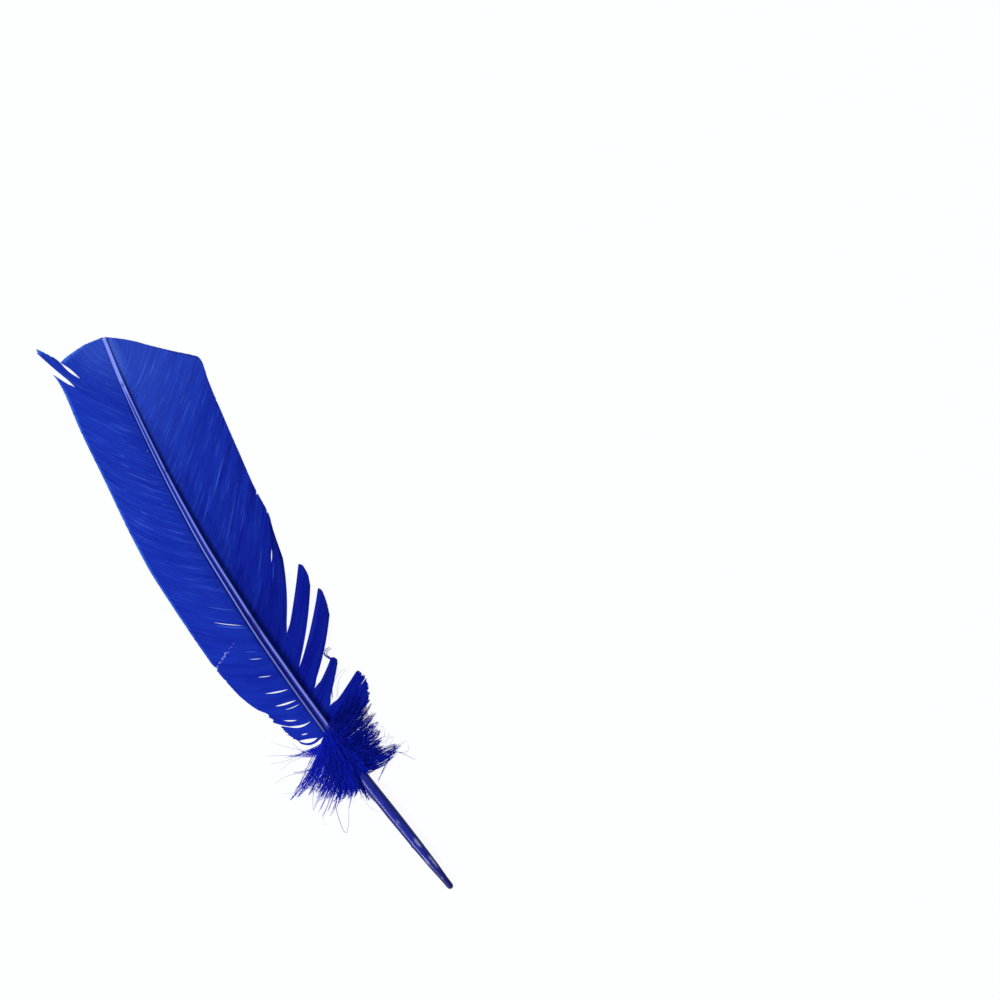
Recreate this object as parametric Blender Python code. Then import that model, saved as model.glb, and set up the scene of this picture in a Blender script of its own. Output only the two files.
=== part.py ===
"""A turkey wing quill, dyed blue, lying on a table with the grooved side of its shaft up.

The feather grew as one piece, so it is one solid: a shaft, a vane on each side made of locks of
barbs, and tufts of down where the bare quill ends. It rests on the quill and on the vanes' edges.
While it is built, the quill's end is at the origin, +Y points to the feather's tip and +X to the
broad vane. Sizes are in millimetres.
"""

import math

import bmesh
import bpy
from mathutils import Vector

MM = 0.001

# The shaft, as (place along Y, value) keys.
SHAFT_LENGTH = 290.0
SHAFT_BOW = ((0, -0.2), (30, -3.5), (60, -6.7), (90, -9.3), (120, -11.3), (150, -12.4),
             (180, -12.3), (210, -10.8), (240, -7.9), (270, -4.0), (290, -0.5))
SHAFT_WIDTH = ((0, 2.2), (1.2, 2.9), (4, 3.2), (14, 4.1), (28, 4.8), (46, 5.1), (62, 4.9),
               (86, 4.4), (150, 3.9), (176, 3.5), (225, 2.5), (267, 1.6), (290, 0.9))
SHAFT_DEPTH = ((0, 1.9), (1.2, 2.7), (4, 3.0), (14, 3.9), (28, 4.6), (46, 4.9), (62, 4.9),
               (86, 4.8), (150, 4.6), (176, 4.2), (225, 3.0), (267, 1.9), (290, 1.1))
SHAFT_UNDERSIDE = ((0, 0.4), (1.2, 0.1), (4, 0), (36, 0), (60, 0.9), (100, 3.0), (160, 4.6),
                   (220, 3.8), (260, 2.2), (290, 0.9))
GROOVE_DEPTH = ((0, 0), (78, 0), (92, 0.9), (225, 0.6), (262, 0.2), (270, 0), (290, 0))
ROUNDNESS = ((0, 1), (64, 1), (92, 0), (290, 0))
QUILL_STATIONS = (0, 1.2, 4, 12, 24, 36, 48, 57)

RIGHT = 1
LEFT = -1

# The shaft's section, from the left of its flat underside round by the right to the left again.
# Round stretches use the angles, in degrees from straight down. Grooved ones use the outline, in
# half widths and depths. The groove is at point 7, counted from 0, and each vane grows from two
# points, the lower one first.
ROUND_ANGLES = (-15, 15, 47, 78, 102, 133, 160, 180, 200, 227, 258, 282, 313)
GROOVED_OUTLINE = ((-0.35, 0), (0.35, 0), (0.82, 0.08), (1.0, 0.2), (1.0, 0.4), (0.92, 0.8),
                   (0.55, 1.0), (0, 1.0), (-0.55, 1.0), (-0.92, 0.8), (-1.0, 0.4), (-1.0, 0.2),
                   (-0.82, 0.08))
GROOVE_POINT = 7
VANE_POINTS = {RIGHT: (3, 4), LEFT: (11, 10)}

# The vanes. Barbs leave the shaft at evenly spaced roots, and each has a row of points.
FIRST_ROOT = 84.0
ROOT_PITCH = 3.5
ROOT_COUNT = 59
BARB_ROWS = 8
EDGE_THICKNESS = 0.4
VALLEY = 0.2
VANE_FALL = 1.6
EDGE_LIFT = 0.8
LIFT_TURN = 1.9

# Each vane is a list of locks' groups, from the down to the tip. A group has how far out its last
# barb runs joined to the group above, and its outline: root along Y, then its barb's tip.
RIGHT_GROUPS = (
    (5.8, ((84, 13.5, 90.0), (87.5, 16.6, 94.8), (91, 18.0, 99.6), (94.5, 16.4, 104.4))),
    (4.7, ((94.5, 12.4, 111.4), (98, 12.4, 112.8), (101.5, 11.6, 113.8), (105, 10.2, 113.4))),
    (5.7, ((105, 19.4, 132.0), (108.5, 21.4, 138.0), (112, 22.2, 142.5), (115.5, 21.4, 144.6))),
    (12.0, ((115.5, 19.0, 147.4), (119, 20.8, 152.4), (122.5, 21.0, 156.2), (126, 19.8, 158.4))),
    (0.0, ((126, 15.2, 164.3), (136.5, 18.1, 176.5), (147, 20.6, 185.5), (161, 21.3, 196.5),
           (178.5, 23.8, 213.5), (199.5, 26.9, 233.5), (220.5, 29.8, 250.2), (227, 31.0, 254.6),
           (231, 31.7, 258.4), (233, 31.2, 260.4), (236.5, 29.2, 261.9), (262.5, 15.7, 276.2),
           (273, 9.6, 282.9), (287, 1.2, 289.8))),
)
LEFT_GROUPS = (
    (1.4, ((87.5, -22.4, 90.7), (91, -24.6, 94.3), (94.5, -25.8, 99.4))),
    (30.2, ((94.5, -26.4, 102.4), (98, -27.8, 106.0), (105, -30.6, 113.0), (112, -34.3, 124.0),
            (126, -36.8, 141.5), (147, -37.9, 170.0), (161, -38.1, 187.0), (175, -37.2, 203.0),
            (203, -33.4, 236.5), (227.5, -30.6, 260.5), (245, -27.7, 275.5), (248.5, -27.1, 280.2),
            (252, -27.8, 288.8))),
    (24.0, ((252, -28.2, 297.6), (255.5, -28.8, 302.2), (259, -25.6, 297.6))),
    (0.0, ((259, -21.7, 291.6), (266, -17.6, 292.2), (276.5, -10.0, 292.5), (287, -2.2, 291.0))),
)
# Over this way a group's last barb comes free of the group above.
RELEASE = 4.0
# How steeply barbs leave the shaft, in degrees from +Y, by root.
RIGHT_ROOT_ANGLE = ((84, 72), (94.5, 66), (105, 54), (126, 46), (161, 44), (200, 49), (240, 58),
                    (287, 62))
LEFT_ROOT_ANGLE = ((87, 110), (97, 104), (106, 86), (113, 77), (130, 66), (150, 56), (200, 48),
                   (230, 40), (262, 34), (287, 40))
# Slits between barbs of the left vane: root, where they start and end along the barb, width.
LEFT_SLITS = ((98, 6.0, 13.5, 1.1), (105, 2.6, 12.0, 1.3), (112, 1.8, 14.5, 1.0),
              (122.5, 4.0, 11.5, 0.7), (129.5, 2.8, 10.5, 0.65), (147, 1.2, 16.5, 0.6))

# The down's tufts leave the shaft between the quill and the vanes, in two layers. Each has its
# place along the shaft, its layer, its tip and its greatest width.
DOWN_STATIONS = (60, 63, 66, 69, 72, 75, 78, 81)
LOW = 0
HIGH = 1
LEFT_TUFTS = (
    (60, LOW, (-19.4, 53.8, 1.0), 5.5), (66, LOW, (-28.8, 56.5, 1.0), 6.0),
    (72, LOW, (-34.6, 63.0, 1.0), 6.0), (78, LOW, (-40.3, 70.8, 1.0), 6.0),
    (63, HIGH, (-12.4, 50.5, 4.5), 4.5), (69, HIGH, (-22.8, 57.2, 5.0), 5.5),
    (75, HIGH, (-31.5, 62.5, 5.0), 6.0), (81, HIGH, (-31.0, 88.0, 4.5), 3.5),
)
RIGHT_TUFTS = (
    (60, LOW, (14.8, 65.4, 1.0), 5.0), (66, LOW, (12.2, 71.6, 1.0), 5.5),
    (72, LOW, (12.6, 79.0, 1.0), 5.5), (78, LOW, (14.0, 86.6, 1.0), 5.0),
    (63, HIGH, (7.6, 63.2, 4.5), 4.5), (69, HIGH, (9.4, 69.6, 5.0), 5.0),
    (75, HIGH, (9.8, 77.6, 5.0), 5.0), (81, HIGH, (11.6, 89.0, 4.5), 5.0),
)
TUFT_PARTS = 6
TUFT_THICKNESS = 2.0
TUFT_RISE = (0.6, 8.5)
TUFT_ANGLE = {LEFT: 106.0, RIGHT: 82.0}
# A tuft's width follows half a wave, from this share of it at the root to its end at the tip.
TUFT_WAVE_START = 0.25
TUFT_TIP_SHARE = 0.12

SHARP_ANGLE = 40.0
DYE = (0.018, 0.035, 0.42, 1.0)
DYE_ROUGHNESS = 0.55


def keyed(keys, place):
    """The value at a place, on a smooth curve through the keys that never overshoots them."""
    places = [key[0] for key in keys]
    values = [key[1] for key in keys]
    if place <= places[0]:
        return values[0]
    if place >= places[-1]:
        return values[-1]
    steps = [b - a for a, b in zip(places, places[1:])]
    rises = [(b - a) / step for a, b, step in zip(values, values[1:], steps)]
    slopes = [rises[0]] + [mean_slope(a, b) for a, b in zip(rises, rises[1:])] + [rises[-1]]
    span = next(i for i, step in enumerate(steps) if place <= places[i + 1])
    t = (place - places[span]) / steps[span]
    before = (1 + 2 * t) * (1 - t) ** 2 * values[span] + t * (1 - t) ** 2 * slopes[span] * steps[span]
    after = t * t * (3 - 2 * t) * values[span + 1] - t * t * (1 - t) * slopes[span + 1] * steps[span]
    return before + after


def mean_slope(before, after):
    """The slope at a key, between the rises on its two sides, and level at a peak."""
    if before * after <= 0:
        return 0.0
    return 2 * before * after / (before + after)


def section(place):
    """The shaft's section at a place along Y, as a list of points."""
    half_width = keyed(SHAFT_WIDTH, place) / 2
    depth = keyed(SHAFT_DEPTH, place)
    roundness = keyed(ROUNDNESS, place)
    centre = keyed(SHAFT_BOW, place)
    underside = keyed(SHAFT_UNDERSIDE, place)
    flat = math.cos(math.radians(ROUND_ANGLES[1]))
    points = []
    for i, (angle, (across, up)) in enumerate(zip(ROUND_ANGLES, GROOVED_OUTLINE)):
        turn = math.radians(angle)
        grooved = Vector((across * half_width, up * depth))
        if i == GROOVE_POINT:
            grooved.y -= keyed(GROOVE_DEPTH, place)
        rounded = Vector((math.sin(turn) * half_width, (flat - math.cos(turn)) * depth / 2))
        point = grooved.lerp(rounded, roundness)
        points.append(Vector((centre + point.x, place, underside + point.y)))
    return points


def heading(angle, side):
    """The direction, in plan, at an angle from +Y towards one side."""
    turn = math.radians(angle)
    return Vector((side * math.sin(turn), math.cos(turn)))


def curve_point(start, control, end, share):
    """A point on the quadratic curve from start to end."""
    return start * (1 - share) ** 2 + control * 2 * share * (1 - share) + end * share ** 2


class Barb:
    """The line in plan of the barb that leaves the shaft at a root."""

    def __init__(self, side, root, outline):
        half_width = keyed(SHAFT_WIDTH, root) / 2
        angle = keyed(RIGHT_ROOT_ANGLE if side == RIGHT else LEFT_ROOT_ANGLE, root)
        self.start = Vector((keyed(SHAFT_BOW, root) + side * half_width, root))
        self.end = Vector([keyed([(key[0], key[axis]) for key in outline], root) for axis in (1, 2)])
        self.length = (self.end - self.start).length
        self.control = self.start + heading(angle, side) * self.length / 2

    def at(self, distance):
        """The point at a distance from the shaft, or the tip if that is nearer."""
        return curve_point(self.start, self.control, self.end, min(1.0, distance / self.length))

    def path(self):
        """One point for each row."""
        return [self.at(self.length * row / BARB_ROWS) for row in range(BARB_ROWS + 1)]

    def parted(self, other, joined, shared):
        """The same with its first rows, the shared ones, half way to a neighbour's line."""
        points = []
        for row in range(BARB_ROWS + 1):
            distance = joined * row / shared
            if row > shared:
                distance = joined + (self.length - joined) * (row - shared) / (BARB_ROWS - shared)
            own = self.at(distance)
            freed = min(1.0, max(0.0, (distance - joined) / RELEASE))
            points.append(((own + other.at(distance)) / 2).lerp(own, freed))
        return points


def root_paths(side, groups, root):
    """The paths at a root, of the groups below and above, and the last row where they are one."""
    for (joined, outline), (_, above) in zip(groups, groups[1:]):
        if outline[-1][0] == root:
            low = Barb(side, root, outline)
            high = Barb(side, root, above)
            shared = max(1, round(2 * joined / (low.length + high.length) * BARB_ROWS))
            return low.parted(high, joined, shared), high.parted(low, joined, shared), shared
    outline = next(outline for _, outline in groups if outline[0][0] <= root <= outline[-1][0])
    path = Barb(side, root, outline).path()
    return path, path, BARB_ROWS


def slit_rows(side, root, path):
    """The slit at a root, as its first and last row and its width, or None."""
    for place, start, end, width in LEFT_SLITS if side == LEFT else ():
        if place == root:
            row_length = (path[-1] - path[0]).length / BARB_ROWS
            first = max(1, round(start / row_length))
            return first, max(first + 2, round(end / row_length)), width
    return None


def slit_paths(path, slit):
    """The two sides of a slit, apart by its width in its middle."""
    first, last, width = slit
    low = list(path)
    high = list(path)
    for row in range(first + 1, last):
        apart = Vector((0, width / 2 * math.sin(math.pi * (row - first) / (last - first))))
        low[row] = path[row] - apart
        high[row] = path[row] + apart
    return low, high


class Solid:
    """The feather's mesh while it is built."""

    def __init__(self):
        self.mesh = bmesh.new()

    def vertex(self, point):
        """A new vertex at a point in millimetres."""
        return self.mesh.verts.new(Vector(point) * MM)

    def face(self, *corners):
        """A new face between vertices."""
        self.mesh.faces.new(corners)

    def strip(self, row, next_row):
        """Faces between two equal rows of vertices."""
        for a, b, c, d in zip(row, row[1:], next_row[1:], next_row):
            self.face(a, b, c, d)


def vane_roots(groups):
    """Every place along Y where a vane has a barb line."""
    roots = [FIRST_ROOT + ROOT_PITCH * i for i in range(ROOT_COUNT)]
    return [root for root in roots if root >= groups[0][1][0][0]]


def stations():
    """Every place along Y where the shaft has a section."""
    return list(QUILL_STATIONS) + list(DOWN_STATIONS) + vane_roots(RIGHT_GROUPS) + [SHAFT_LENGTH]


def grown_faces(side, groups, table):
    """The shaft's faces that a side's vane and tufts grow from, as the place and first point."""
    vane_faces = {(root, min(VANE_POINTS[side])) for root in vane_roots(groups)[:-1]}
    return vane_faces | {(place, min(tuft_points(side, layer))) for place, layer, _, _ in table}


def shaft(solid, places, open_faces):
    """The shaft's skin, open where vanes and tufts grow from it. Returns its rings."""
    rings = [[solid.vertex(point) for point in section(place)] for place in places]
    for place, ring, next_ring in zip(places, rings, rings[1:]):
        for i in range(len(ring)):
            j = (i + 1) % len(ring)
            if (place, i) not in open_faces:
                solid.face(ring[i], ring[j], next_ring[j], next_ring[i])
    solid.face(*rings[0])
    solid.face(*rings[-1])
    return rings


def vane_column(solid, side, root, path, ring):
    """The top and bottom vertices of one barb line, from the shaft out."""
    bottom_root, top_root = (ring[i] for i in VANE_POINTS[side])
    base = bottom_root.co.z / MM
    root_thickness = top_root.co.z / MM - base
    index = round((root - FIRST_ROOT) / ROOT_PITCH)
    ridge = index % 2
    lift = EDGE_LIFT * (1 + math.sin(LIFT_TURN * index * side)) / 2
    column = [(top_root, bottom_root)]
    for row in range(1, BARB_ROWS + 1):
        share = row / BARB_ROWS
        low = base * (1 - share ** VANE_FALL) + lift * share ** 2
        low += 0 if ridge else VALLEY / 2 * (1 - share)
        thickness = root_thickness + (EDGE_THICKNESS - root_thickness) * share
        thickness -= 0 if ridge else VALLEY * (1 - share / 2)
        x, y = path[row]
        column.append((solid.vertex((x, y, low + thickness)), solid.vertex((x, y, low))))
    return column


def joined_columns(low, high, shared):
    """The upper column with the lower one's vertices in the rows that both share."""
    return [low[row] if row in shared else high[row] for row in range(BARB_ROWS + 1)]


def vane(solid, side, groups, rings):
    """One vane: two skins between barb lines, walled at the edge and wherever it is split."""
    columns = []
    for root in vane_roots(groups):
        low_path, high_path, last_shared = root_paths(side, groups, root)
        shared = list(range(last_shared + 1))
        slit = slit_rows(side, root, low_path)
        if slit:
            low_path, high_path = slit_paths(low_path, slit)
            shared = [row for row in shared if not slit[0] < row < slit[1]]
        low = vane_column(solid, side, root, low_path, rings[root])
        high = low
        if len(shared) <= BARB_ROWS:
            high = part_columns(solid, side, root, high_path, rings[root], low, shared)
        columns.append((low, high))
    for (_, column), (next_column, _) in zip(columns, columns[1:]):
        solid.strip([pair[0] for pair in column], [pair[0] for pair in next_column])
        solid.strip([pair[1] for pair in column], [pair[1] for pair in next_column])
        solid.face(*column[-1], *reversed(next_column[-1]))
    for wall in split_walls(columns):
        solid.strip([pair[0] for pair in wall], [pair[1] for pair in wall])


def part_columns(solid, side, root, path, ring, low, shared):
    """The upper side of a split, with vertices of its own only in the rows that part."""
    high = vane_column(solid, side, root, path, ring)
    for row in shared[1:]:
        for vertex in high[row]:
            solid.mesh.verts.remove(vertex)
    return joined_columns(low, high, shared)


def split_walls(columns):
    """The stretches of barb line that need a wall: both ends, and both sides of each split."""
    walls = [columns[0][0], columns[-1][1]]
    for low, high in columns:
        apart = [row for row in range(BARB_ROWS + 1) if low[row] is not high[row]]
        if apart:
            first = apart[0] - 1
            last = min(apart[-1] + 1, BARB_ROWS)
            walls += [low[first:last + 1], high[first:last + 1]]
    return walls


def tuft(solid, side, face, layer, tip, width):
    """A tapering tuft of down drawn out of one face of the shaft."""
    near_low, near_high, far_low, far_high = face
    start = sum((vertex.co for vertex in face), Vector()) / len(face) / MM
    end = Vector(tip)
    way = heading(TUFT_ANGLE[side], side).to_3d()
    control = start + way * (end - start).length / 2
    control.z = start.z + TUFT_RISE[layer]
    before = [near_low, near_high, far_high, far_low]
    for part in range(1, TUFT_PARTS + 1):
        share = part / TUFT_PARTS
        taper = tuft_taper(share)
        centre = curve_point(start, control, end, share)
        along = (control - start).lerp(end - control, share)
        across = Vector((side * -along.y, side * along.x, 0)).normalized() * width / 2 * taper
        up = Vector((0, 0, TUFT_THICKNESS / 2 * taper))
        after = [solid.vertex(centre + across * a + up * u)
                 for a, u in ((-1, -1), (-1, 1), (1, 1), (1, -1))]
        for i in range(len(after)):
            j = (i + 1) % len(after)
            solid.face(before[i], before[j], after[j], after[i])
        before = after
    solid.face(*before)


def tuft_taper(share):
    """A tuft's width at a share of its length: full after a third and narrow at the tip."""
    swell = math.sin(math.pi * (TUFT_WAVE_START + (1 - TUFT_WAVE_START) * share))
    return max(TUFT_TIP_SHARE, swell)


def tuft_points(side, layer):
    """The section's points that a layer of tufts grows from."""
    bottom, top = VANE_POINTS[side]
    return (bottom, top) if layer == LOW else (top, top + side)


def tufts(solid, side, table, places, rings):
    """All tufts of one side."""
    for place, layer, tip, width in table:
        below, above = tuft_points(side, layer)
        near = rings[place]
        far = rings[places[places.index(place) + 1]]
        tuft(solid, side, (near[below], near[above], far[below], far[above]), layer, tip, width)


def dyed_material():
    """The dye's blue, with the low gloss of barbs."""
    material = bpy.data.materials.new("dyed_feather")
    material.use_nodes = True
    shader = material.node_tree.nodes["Principled BSDF"]
    shader.inputs["Base Color"].default_value = DYE
    shader.inputs["Roughness"].default_value = DYE_ROUGHNESS
    shader.inputs["Metallic"].default_value = 0.0
    return material


def feather():
    """The whole feather as one object, with the middle of its box's underside at the origin."""
    solid = Solid()
    places = stations()
    sides = ((LEFT, LEFT_GROUPS, LEFT_TUFTS), (RIGHT, RIGHT_GROUPS, RIGHT_TUFTS))
    open_faces = set().union(*(grown_faces(*side) for side in sides))
    rings = dict(zip(places, shaft(solid, places, open_faces)))
    for side, groups, table in sides:
        vane(solid, side, groups, rings)
        tufts(solid, side, table, places, rings)
    bmesh.ops.recalc_face_normals(solid.mesh, faces=solid.mesh.faces)
    bmesh.ops.triangulate(solid.mesh, faces=solid.mesh.faces)
    mesh = bpy.data.meshes.new("feather")
    solid.mesh.to_mesh(mesh)
    solid.mesh.free()
    mesh.shade_smooth()
    mesh.set_sharp_from_angle(angle=math.radians(SHARP_ANGLE))
    mesh.materials.append(dyed_material())
    piece = bpy.data.objects.new("feather", mesh)
    bpy.context.scene.collection.objects.link(piece)
    corners = [Vector(corner) for corner in piece.bound_box]
    middle = sum(corners, Vector()) / len(corners)
    piece.location = (-middle.x, -middle.y, -min(corner.z for corner in corners))
    return piece


for old in list(bpy.data.objects):
    bpy.data.objects.remove(old, do_unlink=True)
feather()
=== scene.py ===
"""The dyed turkey feather as the photograph shows it: shaft, two vanes of barbs, down and studio.

Shapes are worked out in millimetres, with the quill's end at the origin, +Y to the feather's tip,
+X to the broad vane and the table at height 0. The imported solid's box then says where that is.
"""

import math

import bpy
import numpy as np
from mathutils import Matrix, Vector


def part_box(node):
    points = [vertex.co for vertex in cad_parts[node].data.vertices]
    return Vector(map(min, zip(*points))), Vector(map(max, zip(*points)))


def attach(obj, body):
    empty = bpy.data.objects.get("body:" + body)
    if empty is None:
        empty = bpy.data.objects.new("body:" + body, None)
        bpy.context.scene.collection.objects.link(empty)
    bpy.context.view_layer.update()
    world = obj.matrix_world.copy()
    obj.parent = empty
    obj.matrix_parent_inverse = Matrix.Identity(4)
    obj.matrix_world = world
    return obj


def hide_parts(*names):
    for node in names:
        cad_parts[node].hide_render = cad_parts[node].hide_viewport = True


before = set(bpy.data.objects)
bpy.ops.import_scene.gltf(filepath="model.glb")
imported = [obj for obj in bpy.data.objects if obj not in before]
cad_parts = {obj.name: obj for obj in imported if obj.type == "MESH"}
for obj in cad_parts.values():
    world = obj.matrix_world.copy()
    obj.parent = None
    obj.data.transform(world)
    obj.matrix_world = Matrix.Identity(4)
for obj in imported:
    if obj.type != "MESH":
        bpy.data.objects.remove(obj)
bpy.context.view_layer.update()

MM = 0.001

# The shaft, as (place along Y, value) keys.
SHAFT_LENGTH = 290.0
SHAFT_BOW = ((0, -0.2), (30, -3.5), (60, -6.7), (90, -9.3), (120, -11.1), (150, -12.1),
             (180, -11.95), (210, -10.4), (240, -7.5), (270, -3.5), (290, 0.15))
SHAFT_WIDTH = ((-1.1, 2.2), (0.1, 2.9), (4, 3.2), (14, 4.3), (28, 5.1), (46, 5.5), (62, 5.3),
               (86, 4.5), (150, 3.9), (176, 3.5), (225, 2.5), (267, 1.9), (290, 1.6))
SHAFT_DEPTH = ((-1.1, 1.9), (0.1, 2.7), (4, 3.0), (14, 3.9), (28, 4.6), (46, 4.9), (62, 4.9),
               (86, 4.8), (150, 4.6), (176, 4.2), (225, 3.0), (267, 1.9), (290, 1.1))
SHAFT_UNDERSIDE = ((-1.1, 0.4), (0.1, 0.1), (4, 0), (36, 0), (60, 0.9), (100, 3.0), (160, 4.6),
                   (220, 3.8), (260, 2.2), (290, 0.9))
GROOVE_DEPTH = ((0, 0), (78, 0), (92, 0.9), (225, 0.6), (262, 0.2), (270, 0), (290, 0))
ROUNDNESS = ((0, 1), (64, 1), (92, 0), (290, 0))
END_ROUNDING = ((-1.1, 0.45), (-0.85, 0.72), (-0.4, 0.92), (0.2, 1.0), (286.0, 1.0), (289.9, 0.95),
                (290.4, 0.7))
STATION_PITCH = 1.0

# The shaft's section, from the left of its flat underside round by the right. Each point has its
# angle on the round quill, in degrees from straight down, then where it lies on the grooved
# shaft, in half widths and depths, its share of the groove's depth, and how pale it is.
SECTION = (
    (-15, -0.35, 0.0, 0.0, 0.0), (15, 0.35, 0.0, 0.0, 0.0), (38, 0.82, 0.08, 0.0, 0.0),
    (58, 1.0, 0.22, 0.0, 0.0), (78, 1.02, 0.42, 0.0, 0.0), (98, 1.0, 0.66, 0.0, 0.5),
    (116, 0.94, 0.87, 0.0, 1.0), (134, 0.8, 0.98, 0.0, 1.0), (150, 0.58, 0.98, 0.0, 0.7),
    (163, 0.38, 0.94, 0.4, 0.1), (174, 0.16, 0.92, 0.9, 0.0), (186, -0.06, 0.92, 1.0, 0.0),
    (198, -0.27, 0.93, 0.85, 0.0), (212, -0.44, 0.96, 0.2, 0.75), (226, -0.6, 0.98, 0.0, 1.0),
    (244, -0.8, 0.9, 0.0, 0.2), (262, -0.96, 0.68, 0.0, 0.0), (282, -1.02, 0.42, 0.0, 0.0),
    (302, -1.0, 0.22, 0.0, 0.0), (322, -0.82, 0.08, 0.0, 0.0),
)
SECTION_STEPS = 3
# How pale each ridge is along the shaft, as paler horn and a painted highlight. It is fully so only where
# the groove is OPEN_GROOVE deep.
LEFT_RIDGE = ((0, 0), (84, 0.15), (96, 0.5), (125, 0.65), (150, 0.8), (200, 1.1), (290, 1.1))
RIGHT_RIDGE = ((0, 0), (80, 0.15), (94, 0.8), (110, 0.95), (150, 0.95), (200, 1.0), (290, 1.0))
OPEN_GROOVE = 0.25
# Near the tip, where the groove has closed, all above this share of the depth is pale, partly as a painted
# highlight.
TOP_FROM = 0.75
TOP_BLEND = 0.15
TOP_PALE = 0.9
# Painted shade darkens the sides of the quill and shaft from this far out, in half widths.
FLANK_SHADE_FROM = 0.45
FLANK_SHADE_BLEND = 0.45

# Small hurts on the shaft: place along Y, middle across in half widths, half length, depth.
NICKS = ((149.2, 0.4, 1.5, 0.35), (145.0, 0.42, 4.0, 0.2), (225.0, 0.75, 0.9, 0.3),
         (268.0, -0.4, 0.9, 0.25), (268.0, 0.4, 0.9, 0.25))
BUMPS = ((23.8, -0.98, 0.6, 0.32), (12.0, 0.6, 1.6, 0.12), (41.0, -0.6, 1.4, 0.1))
# Scraped, paler patches on the quill: the same first three values, then how pale.
SCRAPES = ((24.5, 0.35, 2.6, 0.9), (13.6, 0.5, 3.2, 1.0), (15.2, -0.57, 2.0, 0.7),
           (5.1, -0.33, 1.0, 0.5), (36.8, -0.1, 2.4, 0.4))
# How far each spreads across, in half widths, and above what share of the depth it lies.
NICK_SPREAD = 0.35
NICKS_ABOVE = 0.5
BUMP_SPREAD = 0.5
SCRAPE_SPREAD = 0.3
SCRAPES_ABOVE = 0.4

RIGHT = 1
LEFT = -1
# The lowest barb's root, and how far along the shaft a split or slit draws the barbs beside it.
FIRST_ROOT = 84.0
ROOT_PITCH = 3.5
# A vane starts inside the shaft, at this share of its depth, and as thick. It thins to its edge,
# which falls to the table, and which rises and falls a little with the locks.
ROOT_INSIDE = 0.3
ROOT_SHARE = 0.2
EDGE_THICKNESS = 0.4
VANE_FALL = 1.6
EDGE_LIFT = 0.3
LIFT_TURN = 1.9

# Each vane is a list of locks' groups, from the down to the tip. A group has how far out its last
# barbs run joined to the group above, and its outline: root along Y, its barb's tip, and how
# steeply the barb leaves the shaft, in degrees from +Y.
RIGHT_GROUPS = (
    (5.8, (
        (84, 13.5, 90.0, 80), (87.5, 16.6, 94.8, 78), (91, 18.0, 99.6, 76), (94.5, 16.4, 104.4, 74))),
    (4.7, (
        (94.5, 10.9, 111.8, 54), (98, 11.4, 113.0, 58), (101.5, 10.9, 114.4, 64), (105, 9.7, 115.2, 70))),
    (4.6, (
        (105, 19.4, 132.0, 54), (108.5, 21.4, 138.0, 53), (112, 22.2, 142.5, 52), (115.5, 21.4, 144.6, 52))),
    (12.0, (
        (115.5, 19.0, 147.4, 48), (119, 20.8, 152.4, 48), (122.5, 21.0, 156.2, 47), (126, 19.8, 158.4, 46))),
    (0.0, (
        (126, 15.2, 164.3, 43), (136.5, 18.1, 176.5, 44), (147, 20.6, 185.5, 44), (161, 21.3, 196.5, 44),
        (178.5, 23.8, 213.5, 46), (199.5, 26.9, 233.5, 49), (220.5, 29.8, 250.2, 53), (227, 31.0, 254.6, 55),
        (231, 31.7, 258.4, 56), (233, 31.4, 260.6, 56), (234.5, 30.6, 261.6, 57), (248, 22.8, 269.3, 59),
        (262.5, 15.6, 276.8, 60), (273, 9.4, 283.4, 61), (283, 3.6, 288.3, 62), (289.6, 0.6, 290.6, 62))),
)
LEFT_GROUPS = (
    (1.8, (
        (87.3, -22.4, 90.6, 110), (88.4, -23.0, 91.8, 109), (92, -25.0, 95.4, 107),
        (95.2, -26.2, 100.0, 105), (96.2, -26.4, 101.6, 105))),
    (30.2, (
        (96.2, -26.2, 102.7, 105), (97.0, -28.4, 105.2, 104), (97.6, -27.1, 105.7, 103),
        (98.2, -28.3, 107.3, 102), (99.4, -27.9, 108.2, 100), (105, -30.9, 113.0, 88),
        (112, -34.7, 124.0, 78), (126, -37.2, 141.5, 69), (147, -38.2, 170.0, 58), (161, -38.4, 187.0, 54),
        (175, -37.5, 203.0, 52), (203, -33.7, 236.5, 47), (227.5, -31.0, 260.5, 41), (245, -28.5, 275.5, 37),
        (248.5, -27.8, 280.2, 36), (250.3, -27.5, 284.8, 36), (252, -27.9, 288.8, 36))),
    (38.0, (
        (252, -28.3, 299.6, 36), (253.5, -28.9, 301.0, 36), (254.6, -28.4, 300.4, 35),
        (255.8, -28.2, 302.4, 35), (256.7, -27.0, 300.8, 35), (257.5, -25.3, 297.8, 35),
        (258, -23.5, 294.6, 35))),
    (0.0, (
        (258, -21.9, 291.5, 35), (266, -17.6, 292.2, 35), (276.5, -10.0, 292.5, 37), (284, -4.4, 291.7, 39),
        (289.6, 0.2, 290.8, 40))),
)
# Over this way a group's last barbs come free of the group above.
RELEASE = 4.0
# Slits between barbs: root, where they start and end along the barb, width.
SLITS = {
    LEFT: ((88.4, 3.6, 12.6, 2.2), (92.4, 5.8, 9.4, 0.7), (96.2, 1.4, 12, 0.9), (99.3, 6, 13.5, 0.85),
           (105.2, 0.4, 9.6, 0.5), (107.1, 1, 12, 1), (113.1, 1.2, 12.8, 0.8), (121, 4, 11.5, 0.45),
           (129.6, 2.8, 10.5, 0.34), (147.2, 1.2, 17.5, 0.42), (258, 25.6, 37.4, 1.5)),
    RIGHT: ((141, 31, 38, 0.56),),
}
# Notches in the vanes' edges: root, depth, half width along the shaft.
NOTCHES = {
    LEFT: ((124, 1.3, 1), (118, 0.5, 0.8), (186, 0.4, 0.7), (226, 0.5, 0.6)),
    RIGHT: ((147.6, 1.2, 0.9), (159.8, 1.4, 0.9), (207, 0.4, 0.6)),
}
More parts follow.
